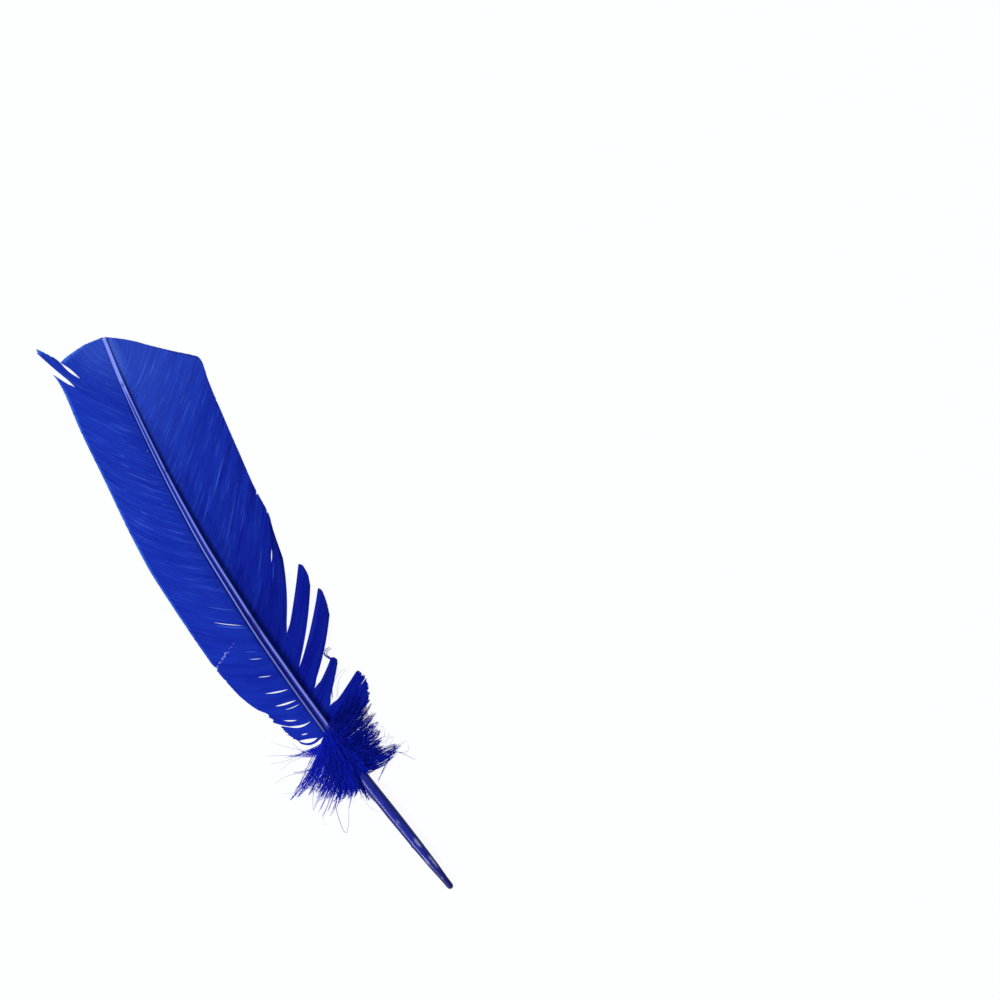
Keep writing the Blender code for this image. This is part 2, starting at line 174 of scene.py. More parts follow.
# Paler stretches of single barbs: root, where they start and end along the barb, how pale.
SCRATCHES = {
    LEFT: ((190.5, 21, 32, 0.8), (193, 24, 28, 0.5), (227, 17, 20, 0.9), (222, 17.5, 20.5, 0.8),
           (198, 20, 23, 0.7), (206, 26, 29, 0.7), (155, 2, 14, 0.6), (145.9, 1.2, 15, 0.9),
           (133.5, 4, 9, 0.5), (240, 12, 20, 0.4)),
    RIGHT: ((191.2, 20.5, 37, 1), (228, 21, 31.5, 0.7), (256.5, 15.5, 24, 0.8), (261, 7, 18, 0.6),
            (246, 22, 29, 0.4), (214, 12, 24, 0.4), (205, 8, 20, 0.4), (176, 16, 30, 0.5),
            (168, 22, 34, 0.4), (150.5, 18, 30, 0.5), (139, 26, 33, 0.7)),
}
SCRATCH_HALF_WIDTH = 0.35
# Below this root the barbs hold together less and less, and their tips stray this far.
LOOSE_BELOW = 108.0
LOOSE_REACH = 22.0
STRAY = 0.32
# How unevenly long the barbs of the joined vane are.
RAGGED = 0.09

BARB_PITCH = 0.42
# The places of a barb's rings, as shares of its length.
BARB_SHARES = np.concatenate((np.linspace(0, 0.1, 4), np.linspace(0.15, 0.95, 19), (0.975, 1.0)))
# A barb's section, by share of its length: how much of the way to its neighbours its flanges
# reach, and how high its ridge and how deep its keel are.
BARB_OVERLAP = ((0, 0.64), (0.45, 0.66), (0.65, 0.85), (1, 0.88))
RAMUS_HEIGHT = ((0, 0.15), (0.3, 0.11), (1, 0.06))
KEEL_DEPTH = ((0, 0.3), (0.3, 0.2), (1, 0.15))
NARROWEST_STEP = 0.05
WIDEST_HALF = 0.42
# Over its last stretch a barb narrows to this share of its width.
TIP_STRETCH = 0.02
TIP_WIDTH = 0.65
# How barbs differ in tone, height and tilt: wanders, as (weight, reach in barbs), and single noise.
TONE_WANDERS = ((0.5, 9), (0.35, 3))
TONE_NOISE = 0.15
WAVE_WANDERS = ((0.14, 14), (0.05, 4))
WAVE_BOW = 0.55
SHINGLE = 0.03
TILT_WANDERS = ((0.02, 5),)
TILT_NOISE = 0.01
# How high the lowest keels lie over the table, and how high every barb over its vane's middle.
KEEL_GAP = 0.08
BARB_RISE = 0.05

# The down's locks: root along the shaft, the middle of the lock, its tip and its half width.
LEFT_LOW = (
    (87, (-24.5, 77.2), (-40.3, 70.9), 1.9), (86.5, (-23.5, 75.6), (-37.6, 70.4), 1.6),
    (86, (-22.5, 77.6), (-35.2, 73.4), 1.9), (85, (-21.5, 74.5), (-32.4, 68.4), 1.4),
    (84, (-20.5, 71.0), (-34.0, 61.8), 0.7), (83, (-19.5, 69.0), (-32.8, 59.6), 0.75),
    (82, (-19.0, 68.0), (-32.0, 56.8), 0.6), (81, (-18.0, 67.0), (-30.1, 56.8), 0.8),
    (80, (-17.5, 65.5), (-29.0, 55.2), 0.7), (82, (-19.0, 69.5), (-29.6, 63.0), 1.3),
    (79, (-16.5, 65.0), (-25.4, 56.4), 1.0), (78, (-16.0, 65.0), (-25.0, 60.0), 1.5),
    (76, (-14.5, 63.5), (-22.6, 58.4), 1.3), (74, (-13.5, 62.0), (-20.2, 53.7), 0.9),
    (72, (-13.0, 61.5), (-18.6, 57.4), 1.4), (70, (-11.8, 60.5), (-15.4, 56.8), 1.3),
    (68, (-10.6, 59.5), (-13.0, 53.6), 0.7), (66, (-9.9, 58.5), (-11.4, 52.0), 0.9),
    (64.5, (-9.2, 56.5), (-8.6, 50.2), 1.2), (65.5, (-9.6, 57.0), (-10.2, 51.6), 1.2),
    (82, (-22.0, 77.5), (-32.6, 81.0), 0.6), (84, (-17.0, 82.5), (-20.2, 80.8), 0.4),
)
PLUME = (
    (83.5, (-21.5, 84.6), (-31.2, 88.3), 1.0), (83.0, (-20.0, 83.6), (-29.6, 87.6), 1.3),
    (84.5, (-18.6, 84.6), (-25.4, 87.0), 1.2), (82.5, (-18.4, 82.2), (-25.0, 84.4), 1.3),
)
LEFT_MIDDLE = (
    (87, (-21.0, 77.6), (-32.5, 72.6), 2.0), (86, (-20.0, 75.0), (-30.5, 69.6), 2.4),
    (84, (-19.0, 72.0), (-28.6, 66.4), 2.6), (82, (-17.8, 69.5), (-26.4, 63.6), 2.6),
    (80, (-16.4, 67.5), (-23.2, 61.6), 2.6), (77, (-15.0, 66.0), (-20.2, 59.4), 2.6),
    (74, (-13.6, 64.5), (-17.4, 58.2), 2.2), (71, (-12.2, 63.0), (-14.6, 57.8), 2.0),
)
LEFT_HIGH = (
    (88, (-18.5, 79.0), (-28.6, 75.6), 2.0), (87, (-17.5, 76.5), (-28.4, 71.2), 2.6),
    (85, (-16.5, 73.5), (-26.4, 67.6), 2.8), (83, (-15.5, 70.8), (-24.0, 65.0), 2.8),
    (81, (-14.5, 68.8), (-21.0, 62.8), 2.8), (79, (-13.4, 67.2), (-18.2, 61.0), 2.8),
    (76, (-12.4, 65.6), (-15.8, 59.8), 2.6), (73, (-11.4, 64.0), (-13.4, 58.8), 2.2),
    (71, (-10.6, 62.6), (-11.6, 57.6), 1.8), (69, (-9.9, 61.0), (-10.4, 54.6), 1.3),
)
OVER_SHAFT = (
    (88.5, (-11.2, 79.0), (-14.5, 68.0), 1.8), (88, (-9.2, 78.0), (-10.8, 66.5), 1.8),
    (88, (-7.4, 78.5), (-6.8, 67.0), 1.8), (85, (-10.5, 74.0), (-12.5, 61.6), 1.8),
    (84, (-8.4, 73.5), (-8.8, 61.4), 1.8), (84, (-6.2, 74.0), (-4.6, 62.8), 1.8),
    (80, (-9.8, 70.5), (-11.2, 59.8), 1.8), (79, (-7.8, 69.5), (-7.8, 60.6), 1.8),
    (78, (-6.0, 69.5), (-4.4, 61.4), 1.8), (74, (-9.4, 67.5), (-9.8, 60.0), 1.6),
)
TUFT = (
    (69.5, (4.8, 68.4), (14.2, 66.6), 0.8), (68.5, (5.0, 67.2), (14.9, 65.9), 1.5),
    (67.6, (5.2, 66.2), (15.0, 65.4), 1.5), (67, (5.0, 65.4), (14.5, 65.0), 1.6),
    (66.4, (4.8, 64.6), (13.4, 64.4), 1.5), (66, (4.4, 63.9), (12.4, 63.7), 1.5),
    (65, (2.6, 62.9), (9.6, 62.8), 1.2), (64, (-0.6, 62.4), (5.4, 61.9), 1.1),
)
RIGHT_LOW = (
    (70.5, (1.4, 69.6), (7.2, 69.2), 1.8), (72.5, (1.8, 72.2), (9.4, 72.0), 2.0),
    (75, (2.0, 75.0), (11.0, 75.4), 2.4), (77.5, (2.2, 78.2), (11.8, 79.4), 2.6),
    (80, (2.4, 81.6), (12.8, 83.8), 2.8), (82.5, (2.6, 85.0), (13.8, 88.4), 2.8),
    (85, (2.8, 88.6), (15.0, 93.0), 2.8), (87.5, (3.0, 92.0), (15.8, 97.8), 2.6),
)
RIGHT_MIDDLE = (
    (69, (1.6, 67.6), (7.6, 66.6), 2.2), (71.5, (1.2, 70.0), (7.8, 69.6), 2.4),
    (74, (1.0, 72.8), (8.6, 72.8), 2.6), (77, (1.0, 76.6), (9.6, 77.4), 2.8),
    (80, (1.2, 80.4), (10.4, 82.2), 2.8), (83, (1.4, 84.4), (11.6, 87.4), 2.8),
    (86, (1.6, 88.4), (12.8, 92.8), 2.8), (89, (1.8, 92.2), (13.2, 97.8), 2.4),
)
RIGHT_HIGH = (
    (68, (-1.0, 65.6), (5.6, 64.4), 2.2), (71, (-1.0, 68.8), (5.4, 67.8), 2.6),
    (74, (-1.0, 72.4), (5.6, 72.0), 2.8), (78, (-1.0, 76.8), (6.4, 77.4), 2.8),
    (82, (-1.0, 81.4), (7.4, 83.2), 2.8), (86, (-0.8, 86.0), (8.8, 89.6), 2.6),
    (89, (-0.6, 89.8), (9.4, 95.0), 2.2),
)
# Single long hairs around the down: start, middle, end and radius.
HAIRS = (
    ((-24.2, 58.6), (-26.9, 45.4), (-19.6, 54.2), 0.15), ((-26.9, 76.9), (-35.0, 80.6), (-42.4, 80.6), 0.08),
    ((-24.5, 83.9), (-31.0, 85.2), (-37.2, 84.0), 0.07), ((-22.9, 86.6), (-28.5, 91.6), (-33.5, 98.0), 0.07),
    ((-28.0, 87.2), (-34.0, 90.6), (-38.9, 93.6), 0.08), ((-23.7, 86.4), (-24.8, 89.2), (-25.6, 91.9), 0.09),
    ((-27.0, 86.0), (-33.0, 87.0), (-39.0, 89.5), 0.07), ((-28.9, 68.7), (-31.5, 65.5), (-33.6, 62.1), 0.12),
    ((-22.5, 59.6), (-26.0, 56.6), (-29.0, 55.4), 0.16), ((-12.0, 54.0), (-11.2, 48.2), (-8.4, 44.4), 0.06),
    ((-20.5, 81.6), (-17.8, 80.6), (-15.4, 82.6), 0.2), ((9.8, 64.8), (4.6, 61.7), (-2.2, 57.0), 0.34),
    ((9.0, 64.2), (4.2, 60.8), (-1.6, 57.8), 0.18), ((12.0, 63.6), (14.4, 60.4), (16.7, 56.2), 0.16),
    ((13.8, 65.2), (16.5, 65.6), (18.4, 65.2), 0.1), ((12.6, 63.0), (16.0, 61.4), (17.6, 63.6), 0.1),
    ((10.0, 113.0), (8.0, 117.9), (11.4, 119.2), 0.4), ((10.6, 112.6), (8.7, 117.3), (11.8, 118.4), 0.34),
    ((9.6, 113.6), (7.6, 118.0), (10.2, 119.8), 0.22), ((10.2, 72.0), (12.2, 74.5), (12.0, 77.6), 0.08),
    ((8.4, 70.6), (11.4, 71.0), (13.6, 73.4), 0.08), ((9.2, 69.4), (12.6, 70.6), (14.8, 70.0), 0.07),
    ((10.0, 68.0), (12.8, 69.0), (13.4, 71.6), 0.07), ((8.8, 72.6), (11.0, 72.4), (13.0, 70.2), 0.08),
    ((-33.5, 72.6), (-38.0, 73.4), (-41.6, 75.4), 0.06), ((-30.4, 58.6), (-32.2, 55.8), (-32.6, 52.9), 0.06),
    ((0.4, 99.8), (5.2, 105.4), (12.4, 107.8), 0.1), ((0.0, 99.0), (3.0, 104.0), (8.8, 110.6), 0.12),
    ((0.6, 99.6), (4.0, 104.6), (9.6, 109.4), 0.12), ((2.4, 98.6), (8.0, 105.2), (13.6, 106.4), 0.08),
)
# A long hair's height at its root and how far it falls, its wave and how much of its radius its
# tip loses. The thicker a hair is, the darker.
HAIR_HEIGHT = 2.4
HAIR_FALL = 1.8
HAIR_WAVE = 0.5
HAIR_TURN = 5.0
HAIR_TAPER = 0.6
HAIR_SHARE = 0.9
HAIR_TONE = -0.3
THICK_HAIR_TONE = -3.0

# The stems of a lock: how many to a millimetre of half width, and how many points each has.
STEMS_PER_MM = 5.5
STEM_PLACES = 13
# How far single stems stray: along the shaft at the root, in the middle, at the tip, sideways in
# half widths, and up or down.
ROOT_STRAY = 1.2
MIDDLE_STRAY = 0.35
TIP_STRAY = 0.25
ASIDE_STRAY = 0.15
HEIGHT_STRAY = 0.5
SHORTEST_STEM = 0.84
ARCH_RANGE = (0.75, 1.25)
# A lock widens up to the first share of its length, and draws together from the second.
FULL_BY = 0.3
POINTED_FROM = 0.5
STEM_TAPER = 0.8

# Barbules: spacing along the stem, length, radii, and how far they turn from it, in degrees.
BARBULE_SPACING = 0.45
BARBULE_LENGTH = 3.2
BARBULE_RADII = (0.065, 0.055, 0.015)
BARBULE_TURN = (6, 28)
BARBULE_TIP_SHORTER = 0.6
BARBULE_LENGTHS = (0.6, 1.2)
BARBULE_RISE = 0.4
BARBULE_BEND = 0.2
FIRST_BARBULE = 0.03
# This share of them fly away: they turn further and are longer.
FLYING = 0.05
FLYING_TURN = 14
FLYING_LONGER = 0.6
# A lock of this half width has barbules of full length.
FULL_LOCK = 1.5
TABLE_GAP = 0.12
# How the down differs in tone, from lock to lock, stem to stem and hair to hair.
LOCK_TONES = 0.35
STEM_TONES = 0.25
BARBULE_TONES = 0.3

# Dye colours, and those of painted light and shade, as linear red, green and blue.
DEEP_DYE = (0.0035, 0.008, 0.25, 1.0)
VANE_DYE = (0.011, 0.036, 0.41, 1.0)
PALE_DYE = (0.05, 0.12, 0.58, 1.0)
RIM_LIGHT_DYE = (0.035, 0.13, 0.6, 1.0)
FLECK_DYE = (0.4, 0.5, 0.85, 1.0)
# The ridges: paler horn, made paler still as a painted highlight.
PALE_RIDGE_AND_HIGHLIGHT_DYE = (0.2, 0.26, 0.86, 1.0)
GROOVE_DYE = (0.0015, 0.006, 0.19, 1.0)
GROOVE_TIP_DYE = (0.022, 0.048, 0.42, 1.0)
QUILL_DYE = (0.009, 0.017, 0.22, 1.0)
CLOUD_DYE = (0.022, 0.04, 0.38, 1.0)
# The quill's dark end, and also the painted shade on the sides of the quill and shaft.
QUILL_END_AND_FLANK_SHADE_DYE = (0.004, 0.007, 0.1, 1.0)
SCRAPE_DYE = (0.26, 0.27, 0.52, 1.0)
DOWN_DYE = (0.0025, 0.013, 0.6, 1.0)
DOWN_DARK = (0.0015, 0.004, 0.22, 1.0)
PAPER = (0.05, 0.05, 0.05, 1.0)
PAPER_GLOW = 0.95

rng = np.random.default_rng(7)


def keyed(keys, places):
    """Values at places, on a smooth curve through the keys that never overshoots them."""
    at, value = np.array(keys, float).T
    steps = np.diff(at)
    rises = np.diff(value) / steps
    product = rises[:-1] * rises[1:]
    total = np.where(product > 0, rises[:-1] + rises[1:], 1.0)
    inner = np.where(product > 0, 2 * product / total, 0.0)
    slopes = np.concatenate((rises[:1], inner, rises[-1:]))
    held = np.clip(places, at[0], at[-1])
    span = np.clip(np.searchsorted(at, held) - 1, 0, len(steps) - 1)
    t = (held - at[span]) / steps[span]
    before = (1 + 2 * t) * (1 - t) ** 2 * value[span] + t * (1 - t) ** 2 * slopes[span] * steps[span]
    after = t * t * (3 - 2 * t) * value[span + 1] - t * t * (1 - t) * slopes[span + 1] * steps[span]
    return before + after


def unit(vectors):
    """Vectors of length one."""
    return vectors / np.maximum(np.linalg.norm(vectors, axis=-1, keepdims=True), 1e-9)


def travelled(paths):
    """How far along its path each point lies."""
    lengths = np.linalg.norm(np.diff(paths, axis=1), axis=-1)
    return np.concatenate((np.zeros((len(paths), 1)), np.cumsum(lengths, 1)), 1)


def linked(name, data):
    """A new object in the scene."""
    made = bpy.data.objects.new(name, data)
    bpy.context.scene.collection.objects.link(made)
    return made


class Strands:
    """Closed strands, each a row of rings, gathered into one piece."""

    def __init__(self, *fields):
        self.points = []
        self.quads = []
        self.caps = []
        self.fields = {name: [] for name in fields}
        self.count = 0

    def add(self, rings, **fields):
        """Rings as (strand, place, point, xyz), turning right-handed about the strand's way."""
        strands, places, around, _ = rings.shape
        index = self.count + np.arange(strands * places * around).reshape(strands, places, around)
        near, far = index[:, :-1], index[:, 1:]
        quads = np.stack((near, np.roll(near, -1, 2), np.roll(far, -1, 2), far), -1)
        self.quads += quads.reshape(-1, 4).tolist()
        self.caps += index[:, 0, ::-1].tolist() + index[:, -1].tolist()
        self.points.append(rings.reshape(-1, 3))
        for name, parts in self.fields.items():
            values = np.broadcast_to(fields[name], rings.shape[:3])
            parts.append(values.reshape(-1))
        self.count += strands * places * around

    def piece(self, name, material, sharp=None):
        """The strands as one object that rides the feather and takes the solid's place."""
        mesh = bpy.data.meshes.new(name)
        points = np.concatenate(self.points) * MM + ORIGIN
        mesh.from_pydata(points.tolist(), [], self.quads + self.caps)
        for field, parts in self.fields.items():
            mesh.attributes.new(field, "FLOAT", "POINT").data.foreach_set(
                "value", np.concatenate(parts).astype(np.float32))
        mesh.shade_smooth()
        if sharp:
            mesh.set_sharp_from_angle(angle=math.radians(sharp))
        mesh.materials.append(material)
        made = linked(name, mesh)
        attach(made, "root")
        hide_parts("feather")


def shaft_section(places):
    """Rings of the shaft at places along Y, and how pale each point is."""
    angle, across, up, groove, pale = np.array(SECTION).T
    turn = np.radians(angle)
    half = keyed(SHAFT_WIDTH, places)[:, None] / 2
    depth = keyed(SHAFT_DEPTH, places)[:, None]
    round_share = keyed(ROUNDNESS, places)[:, None]
    groove_depth = keyed(GROOVE_DEPTH, places)[:, None]
    flat = math.cos(turn[1])
    x = round_share * np.sin(turn) * half + (1 - round_share) * across * half
    z_round = (flat - np.cos(turn)) * depth / 2
    z_grooved = up * depth - groove * groove_depth
    z = round_share * z_round + (1 - round_share) * z_grooved
    grooved = np.clip(groove_depth / OPEN_GROOVE, 0, 1)
    top = np.clip((up - TOP_FROM) / TOP_BLEND, 0, 1) * (places[:, None] > SHAFT_LENGTH / 2)
    shade = pale * grooved + top * TOP_PALE * (1 - grooved)
    left, right = (keyed(ridge, places)[:, None] for ridge in (LEFT_RIDGE, RIGHT_RIDGE))
    shade = shade * np.where(across < 0, left, right)
    return smooth_round(np.stack((x, z, shade), -1))


def smooth_round(points):
    """More points between those of each ring, on a smooth closed curve through them."""
    before, after, last = (np.roll(points, step, 1) for step in (1, -1, -2))
    parts = []
    for step in range(SECTION_STEPS):
        t = step / SECTION_STEPS
        parts.append(0.5 * ((2 * points) + (after - before) * t
                            + (2 * before - 5 * points + 4 * after - last) * t ** 2
                            + (3 * points - before - 3 * after + last) * t ** 3))
    return np.stack(parts, 2).reshape(points.shape[0], -1, points.shape[2])


def spot(along, reach, aside, spread):
    """1 at a spot's middle and 0 well outside it."""
    return np.exp(-(along / reach) ** 2 - (aside / spread) ** 2)


def shaft():
    """The quill and the grooved shaft, as one tube."""
    places = np.unique(np.concatenate((
        np.arange(1, SHAFT_LENGTH, STATION_PITCH), [place for place, _ in END_ROUNDING])))
    section = shaft_section(places)
    depth = keyed(SHAFT_DEPTH, places)[:, None]
    half = keyed(SHAFT_WIDTH, places)[:, None] / 2
    size = keyed(END_ROUNDING, places)[:, None]
    x, z, pale = section[..., 0], section[..., 1], np.clip(section[..., 2], 0, 1)
    for place, across, reach, low in NICKS:
        near = spot(places[:, None] - place, reach, x / half - across, NICK_SPREAD)
        near = near * (z > depth * NICKS_ABOVE)
        z = z - low * near
        pale = pale * (1 - near)
    for place, across, reach, high in BUMPS:
        near = spot(places[:, None] - place, reach, x / half - across, BUMP_SPREAD)
        x = x + np.sign(across) * high * near
    scraped = np.zeros_like(x)
    for place, across, reach, strength in SCRAPES:
        near = spot(places[:, None] - place, reach, x / half - across, SCRAPE_SPREAD)
        scraped = np.maximum(scraped, near * strength * (z > depth * SCRAPES_ABOVE))
    # Painted shade: the sides are darkened in colour, more the further out they lie.
    flank = np.clip((np.abs(x / half) - FLANK_SHADE_FROM) / FLANK_SHADE_BLEND, 0, 1)
    z = np.maximum((z - depth / 2) * size + depth / 2, 0)
    x = x * size
    y = np.broadcast_to(places[:, None], x.shape)
    centre = keyed(SHAFT_BOW, places)[:, None]
    ring = np.stack((centre + x, y, keyed(SHAFT_UNDERSIDE, places)[:, None] + z), -1)[:, ::-1]
    around = np.broadcast_to(np.linspace(0, 1, x.shape[1], endpoint=False), x.shape)[:, ::-1]
    strands = Strands("pale", "along", "around", "scraped", "flank")
    strands.add(ring[None], pale=pale[:, ::-1][None], along=y[None], around=around[None],
                scraped=scraped[:, ::-1][None], flank=flank[:, ::-1][None])
    strands.piece("quill_and_shaft", shaft_material())


def barb_paths(side, outline, roots):
    """Barbs' lines in plan, as (barb, place, xy)."""
    half = keyed(SHAFT_WIDTH, roots) / 2
    start = np.stack((keyed(SHAFT_BOW, roots) + side * half, roots), -1)
    end = np.stack([keyed([(key[0], key[axis]) for key in outline], roots) for axis in (1, 2)], -1)
    turn = np.radians(keyed([(key[0], key[3]) for key in outline], roots))
    way = np.stack((side * np.sin(turn), np.cos(turn)), -1)
    control = start + way * np.linalg.norm(end - start, axis=-1, keepdims=True) / 2
    share = BARB_SHARES[None, :, None]
    return (start[:, None] * (1 - share) ** 2 + control[:, None] * 2 * share * (1 - share)
            + end[:, None] * share ** 2)


def parting(side, outline, other, root, joined):
    """How far the barb at a split is drawn to the group on the split's other side."""
    own, next_to = (barb_paths(side, group, np.array([root])) for group in (outline, other))
    out, other_out = travelled(own)[0], travelled(next_to)[0]
    beside = np.stack([np.interp(out, other_out, next_to[0, :, axis]) for axis in (0, 1)], -1)
    freed = np.clip((out - joined) / RELEASE, 0, 1)[:, None]
    return (beside - own[0]) / 2 * (1 - freed)


def slit_push(side, roots, paths):
    """How far slits push each barb to either side, as (barb, place)."""
    out = travelled(paths)
    push = np.zeros(out.shape)
    for place, start, end, width in SLITS[side]:
        opened = np.sin(np.clip((out - start) / (end - start), 0, 1) * math.pi)
        away = roots - place
        near = np.sign(away) * np.clip(1 - np.abs(away) / ROOT_PITCH, 0, 1)
        push += near[:, None] * opened * width / 2
    return push


def group_paths(side, groups, index):
    """The roots and lines of one group of locks, parted from the groups on either side."""
    joined, outline = groups[index]
    first, last = outline[0][0], outline[-1][0]
    count = round((last - first) / BARB_PITCH)
    roots = first + (np.arange(count) + 0.5) * (last - first) / count
    paths = barb_paths(side, outline, roots)
    if index + 1 < len(groups):
        near = np.clip(1 - (last - roots) / ROOT_PITCH, 0, 1)[:, None, None]
        paths = paths + near * parting(side, outline, groups[index + 1][1], last, joined)
    if index > 0:
        near = np.clip(1 - (roots - first) / ROOT_PITCH, 0, 1)[:, None, None]
        paths = paths + near * parting(side, outline, groups[index - 1][1], first, groups[index - 1][0])
    return roots, paths


def shortened(paths, roots, notches):
    """Barbs with ragged tips, cut shorter at the notches, and straying where they are loose."""
    length = np.linalg.norm(paths[:, -1] - paths[:, 0], axis=-1)
    loose = np.clip((LOOSE_BELOW - roots) / LOOSE_REACH, 0, 1)
    cut = np.abs(rng.normal(0, RAGGED + STRAY * loose))
    for place, depth, reach in notches:
        cut += depth * np.clip(1 - np.abs(roots - place) / reach, 0, 1)
    stray = rng.normal(0, STRAY, (len(roots), 1, 2)) * loose[:, None, None]
    keep = 1 - cut / np.maximum(length, 1)
    return resampled(paths + stray * BARB_SHARES[None, :, None] ** 3, keep)


def resampled(paths, keep):
    """Each path over only the first part of its length."""
    made = np.empty_like(paths)
    for i, share in enumerate(keep):
        for axis in (0, 1):
            made[i, :, axis] = np.interp(BARB_SHARES * share, BARB_SHARES, paths[i, :, axis])
    return made


def barb_heights(roots, side):
    """The height of each barb's middle, as (barb, place), before its own waves."""
    underside = keyed(SHAFT_UNDERSIDE, roots)[:, None]
    depth = keyed(SHAFT_DEPTH, roots)[:, None]
    root_height = ROOT_SHARE * depth
    lift = EDGE_LIFT * (1 + np.sin(LIFT_TURN * (roots - FIRST_ROOT) / ROOT_PITCH * side))[:, None] / 2
    share = BARB_SHARES[None, :]
    low = (underside + root_height) * (1 - share ** VANE_FALL) + lift * share ** 2
    thickness = root_height + (EDGE_THICKNESS - root_height) * share
    return low + thickness / 2


def wander(count, reach):
    """A smooth random line of count values between about -1 and 1."""
    keys = rng.normal(0, 0.6, count // reach + 4)
    at = np.linspace(1, len(keys) - 2, count)
    low = at.astype(int)
    t = at - low
    t = t * t * (3 - 2 * t)
    return keys[low] * (1 - t) + keys[low + 1] * t


def wandering(count, wanders):
    """The sum of several wanders, each a weight and a reach."""
    return sum(weight * wander(count, reach) for weight, reach in wanders)


def scratched(side, roots, out):
    """How pale the scratches make each place, as (barb, place)."""
    pale = np.zeros(out.shape)
    for place, start, end, strength in SCRATCHES[side]:
        near = np.exp(-((roots - place) / SCRATCH_HALF_WIDTH) ** 2)[:, None]
        within = np.sin(np.clip((out - start) / (end - start), 0, 1) * math.pi) ** 0.5
        pale = np.maximum(pale, near * within * strength)
    return pale


def vane(side, groups, name):
    """One vane, barb by barb."""
    strands = Strands("root", "along", "share", "tone", "scratch", "x", "y")
    for index in range(len(groups)):
        roots, paths = group_paths(side, groups, index)
        paths = shortened(paths, roots, NOTCHES[side])
        paths[:, 0, 0] -= side * ROOT_INSIDE
        rings, tone = barb_rings(side, roots, paths)
        out = travelled(paths)
        strands.add(rings, root=roots[:, None, None], along=out[..., None],
                    share=BARB_SHARES[None, :, None], tone=tone[:, None, None],
                    scratch=scratched(side, roots, out)[..., None], x=rings[..., 0], y=rings[..., 1])
    strands.piece(name, vane_material(name, side), sharp=100)


def barb_rings(side, roots, paths):
    """The barbs' rings: a ridge along the top, a keel below and a thin flange on each side."""
    way = unit(np.gradient(paths, axis=1))
    tipward = side * np.stack((-way[..., 1], way[..., 0]), -1)
    step = np.einsum("brk,brk->br", paths[1:] - paths[:-1], tipward[:-1])
    step = np.maximum(step, NARROWEST_STEP)
    overlap = keyed(BARB_OVERLAP, BARB_SHARES)
    tip = np.clip((1 - BARB_SHARES) / TIP_STRETCH, 0, 1) * (1 - TIP_WIDTH) + TIP_WIDTH
    ahead = np.minimum(np.concatenate((step, step[-1:])) * overlap, WIDEST_HALF) * tip
    behind = np.minimum(np.concatenate((step[:1], step)) * overlap, WIDEST_HALF) * tip
    parted = paths + tipward * slit_push(side, roots, paths)[..., None]
    count = len(roots)
    tone = wandering(count, TONE_WANDERS) + TONE_NOISE * rng.normal(0, 1, count)
    wave = wandering(count, WAVE_WANDERS)[:, None] * np.sin(BARB_SHARES * math.pi * WAVE_BOW)
    tilt = SHINGLE + wandering(count, TILT_WANDERS) + TILT_NOISE * rng.normal(0, 1, count)
    ridge = keyed(RAMUS_HEIGHT, BARB_SHARES)[None]
    keel = keyed(KEEL_DEPTH, BARB_SHARES)[None]
    height = np.maximum(barb_heights(roots, side) + wave + BARB_RISE, keel + KEEL_GAP)
    points = []
    for across, up in ((ahead, -tilt[:, None]), (0, ridge), (-behind, tilt[:, None]), (0, -keel)):
        plan = parted + tipward * (across if np.isscalar(across) else across[..., None])
        points.append(np.concatenate((plan, (height + up)[..., None]), -1))
    rings = np.stack(points, 2)
    if side == LEFT:
        rings = rings[:, :, ::-1]
    return rings, tone


def tubes(paths, radii):
    """Rings of three points along each path, as Strands takes them."""
    way = unit(np.gradient(paths, axis=1))
    level = unit(np.cross(way, (0, 0, 1.0)) + (1e-6, 0, 0))
    up = np.cross(level, way)
    points = []
    for corner in range(3):
        turn = 2 * math.pi * corner / 3 + math.pi / 2
        points.append(paths + (level * math.cos(turn) + up * math.sin(turn)) * radii[..., None])
    return np.stack(points, 2)[:, :, ::-1]


def bent(start, middle, end, shares):
    """Points on the curve from start to end that passes the middle half way."""
    start, middle, end = np.array((start, middle, end))
    control = 2 * middle - (start + end) / 2
    return start * (1 - shares) ** 2 + control * 2 * shares * (1 - shares) + end * shares ** 2


def stem_count(half_width):
    """How many stems a lock of this half width has."""
    return max(2, round(STEMS_PER_MM * half_width))


def stems(locks, across, up, arch, tip_height, point):
    """The stems of some locks, as (stem, place, xyz). They draw together by the share point."""
    shares = np.linspace(0, 1, STEM_PLACES)[:, None]
    pointed = np.clip((shares - POINTED_FROM) / (1 - POINTED_FROM), 0, 1) ** 1.2
    full = np.minimum(shares / FULL_BY, 1) ** 0.8 * (1 - point * pointed)
    made = []
    for root, middle, tip, half_width in locks:
        count = stem_count(half_width)
        for number in range(count):
            place = root + rng.uniform(-ROOT_STRAY, ROOT_STRAY)
            out = rng.uniform(*across) * keyed(SHAFT_WIDTH, place) / 2
            start = (keyed(SHAFT_BOW, place) + out, place)
            end = np.array(tip) + rng.normal(0, TIP_STRAY, 2)
            halfway = np.array(middle) + rng.normal(0, MIDDLE_STRAY, 2)
            plan = bent(start, halfway, end, shares * rng.uniform(SHORTEST_STEM, 1))
            way = unit(np.gradient(plan, axis=0))
            beside = np.stack((-way[:, 1], way[:, 0]), -1)
            aside = (2 * number + 1) / count - 1 + rng.normal(0, ASIDE_STRAY)
            plan = plan + beside * aside * half_width * full
            base = keyed(SHAFT_UNDERSIDE, place) + up * keyed(SHAFT_DEPTH, place)
            high = arch * rng.uniform(*ARCH_RANGE)
            z = base * (1 - shares) ** 1.5 + tip_height * shares + high * 4 * shares * (1 - shares)
            z = z + rng.normal(0, HEIGHT_STRAY) * full
            made.append(np.concatenate((plan, z), -1))
    return np.array(made)


